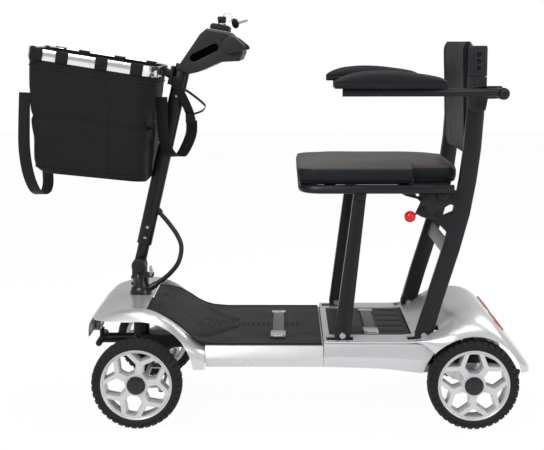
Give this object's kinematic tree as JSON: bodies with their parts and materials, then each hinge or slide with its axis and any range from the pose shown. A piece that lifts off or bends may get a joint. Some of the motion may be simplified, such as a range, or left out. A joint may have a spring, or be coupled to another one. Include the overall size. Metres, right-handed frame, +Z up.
{
  "type": "folding mobility scooter",
  "caption": "Folding mobility scooter with a steered tiller, front basket, lift-out battery and a seat on a folding linkage.",
  "frame": {"origin": "on the ground, under the middle of the overall box", "axes": "+X to the rear, +Z up, -Y on the rider's left"},
  "size_m": [1.1485, 0.624, 0.9125],
  "materials": {
    "silver_paint": "metallic silver lacquer over moulded shells",
    "black_satin_frame": "satin black powder coat",
    "black_plastic": "fine-grained moulding",
    "rubber": "matt ribbed rubber",
    "tyre": "matt tread rubber",
    "seat_vinyl": "grained vinyl",
    "black_nylon": "woven nylon",
    "polished_aluminium": "polished band",
    "wheel_silver": "pale silver moulding",
    "zinc_steel": "zinc plated",
    "red_plastic": "glossy red"
  },
  "bodies": {
    "chassis": {"main_frame": "black_satin_frame", "front_fairing": "silver_paint", "headlight": "black_plastic", "mid_body": "silver_paint", "deck_mat": "rubber", "deck_strap": "black_nylon", "rear_tub": "silver_paint", "rear_cover": "silver_paint", "tail_light_left": "red_plastic", "tail_light_right": "red_plastic", "transaxle": "zinc_steel", "controller_box": "black_plastic"},
    "battery": {"battery_pack": "black_plastic", "battery_strap": "black_nylon"},
    "column": {"steering_column": "silver_paint"},
    "tie": {"tie_rod": "zinc_steel"},
    "latch": {"tiller_latch": "zinc_steel"},
    "tiller": {"tiller_hinge": "zinc_steel", "hinge_knob": "black_plastic", "stem_tube": "black_satin_frame", "head_housing": "black_plastic", "head_cover": "black_plastic", "basket_bracket": "black_satin_frame", "basket_rim": "polished_aluminium", "basket_bag": "black_nylon", "basket_strap_front": "black_nylon", "basket_strap_rear": "black_nylon", "cable_hose": "black_plastic"},
    "paddles": {"throttle_paddles": "black_plastic"},
    "key": {"ignition_key": "zinc_steel"},
    "back": {"back_post_left": "black_satin_frame", "back_post_right": "black_satin_frame", "back_cross_bar": "zinc_steel", "backrest": "seat_vinyl", "post_cap_left": "black_plastic", "post_cap_right": "black_plastic"},
    "legs": {"front_leg_left": "black_satin_frame", "front_leg_right": "black_satin_frame"},
    "seat": {"seat_frame": "black_satin_frame", "seat_cushion": "seat_vinyl"},
    "lever": {"lock_lever": "zinc_steel", "lever_ball": "red_plastic"},
    "hub_left": {"knuckle_left": "zinc_steel"},
    "wheel_front_left": {"tyre_front_left": "tyre", "rim_front_left": "wheel_silver", "hub_cap_front_left": "black_plastic"},
    "wheel_rear_left": {"tyre_rear_left": "tyre", "rim_rear_left": "wheel_silver", "axle_shaft_rear_left": "black_plastic"},
    "arm_left": {"arm_bar_left": "black_satin_frame", "arm_pad_left": "seat_vinyl"},
    "hub_right": {"knuckle_right": "zinc_steel"},
    "wheel_front_right": {"tyre_front_right": "tyre", "rim_front_right": "wheel_silver", "hub_cap_front_right": "black_plastic"},
    "wheel_rear_right": {"tyre_rear_right": "tyre", "rim_rear_right": "wheel_silver", "axle_shaft_rear_right": "black_plastic"},
    "arm_right": {"arm_bar_right": "black_satin_frame", "arm_pad_right": "seat_vinyl"}
  },
  "joints": [
    {"name": "steer", "type": "hinge", "parent": "chassis", "child": "column", "pos_m": [-0.321, 0, 0.232], "axis": [0, 0, 1], "range_deg": [-28, 28]},
    {"name": "knuckle_turn_left", "type": "hinge", "parent": "chassis", "child": "hub_left", "pos_m": [-0.307, -0.178, 0.1], "axis": [0, 0, 1], "range_deg": [-28, 28]},
    {"name": "knuckle_turn_right", "type": "hinge", "parent": "chassis", "child": "hub_right", "pos_m": [-0.307, 0.178, 0.1], "axis": [0, 0, 1], "range_deg": [-28, 28]},
    {"name": "tie_rod_swing", "type": "hinge", "parent": "column", "child": "tie", "pos_m": [-0.271, 0, 0.0797], "axis": [0, 0, 1], "range_deg": [-28, 28]},
    {"name": "tiller_fold", "type": "hinge", "parent": "column", "child": "tiller", "pos_m": [-0.323, 0, 0.3275], "axis": [0, -1, 0], "range_deg": [-30, 0], "deforming": ["cable_hose"]},
    {"name": "tiller_latch_pull", "type": "hinge", "parent": "column", "child": "latch", "pos_m": [-0.296, 0, 0.3035], "axis": [0, 1, 0], "range_deg": [0, 25], "stiffness_Nm_per_rad": 0.2},
    {"name": "throttle", "type": "hinge", "parent": "tiller", "child": "paddles", "pos_m": [-0.0994, 0, 0.838], "axis": [0, 1, 0], "range_deg": [-15, 15], "stiffness_Nm_per_rad": 0.6},
    {"name": "key_turn", "type": "hinge", "parent": "tiller", "child": "key", "pos_m": [-0.125, 0, 0.8848], "axis": [0.184, 0, 0.9829], "range_deg": [0, 90]},
    {"name": "seat_fold", "type": "hinge", "parent": "chassis", "child": "back", "pos_m": [0.327, 0, 0.2005], "axis": [0, -1, 0], "range_deg": [0, 66]},
    {"name": "leg_fold", "type": "hinge", "parent": "chassis", "child": "legs", "pos_m": [0.147, 0, 0.2005], "axis": [0, -1, 0], "range_deg": [0, 66]},
    {"name": "seat_level", "type": "hinge", "parent": "back", "child": "seat", "pos_m": [0.3637, 0, 0.5165], "axis": [0, -1, 0], "range_deg": [-66, 0]},
    {"name": "fold_lock", "type": "hinge", "parent": "back", "child": "lever", "pos_m": [0.3206, -0.19525, 0.48], "axis": [0, 1, 0], "range_deg": [0, 25], "stiffness_Nm_per_rad": 0.3},
    {"name": "armrest_lift_left", "type": "hinge", "parent": "back", "child": "arm_left", "pos_m": [0.4751, -0.2725, 0.737], "axis": [0, -1, 0], "range_deg": [-95, 0]},
    {"name": "armrest_lift_right", "type": "hinge", "parent": "back", "child": "arm_right", "pos_m": [0.4751, 0.2725, 0.737], "axis": [0, 1, 0], "range_deg": [0, 95]},
    {"name": "wheel_spin_front_left", "type": "hinge", "parent": "hub_left", "child": "wheel_front_left", "pos_m": [-0.307, -0.22, 0.1], "axis": [0, 1, 0], "continuous": true},
    {"name": "wheel_spin_front_right", "type": "hinge", "parent": "hub_right", "child": "wheel_front_right", "pos_m": [-0.307, 0.22, 0.1], "axis": [0, 1, 0], "continuous": true},
    {"name": "wheel_spin_rear_left", "type": "hinge", "parent": "chassis", "child": "wheel_rear_left", "pos_m": [0.433, -0.22, 0.1], "axis": [0, 1, 0], "continuous": true},
    {"name": "wheel_spin_rear_right", "type": "hinge", "parent": "chassis", "child": "wheel_rear_right", "pos_m": [0.433, 0.22, 0.1], "axis": [0, 1, 0], "continuous": true},
    {"name": "battery_lift", "type": "slide", "parent": "chassis", "child": "battery", "axis": [0, 0, -1], "range_m": [-0.13, 0]}
  ],
  "couplings": [
    {"joint": "knuckle_turn_left", "follows": "steer", "ratio": 1},
    {"joint": "knuckle_turn_right", "follows": "steer", "ratio": 1},
    {"joint": "tie_rod_swing", "follows": "steer", "ratio": -1},
    {"joint": "leg_fold", "follows": "seat_fold", "ratio": 1},
    {"joint": "seat_level", "follows": "seat_fold", "ratio": -1}
  ]
}
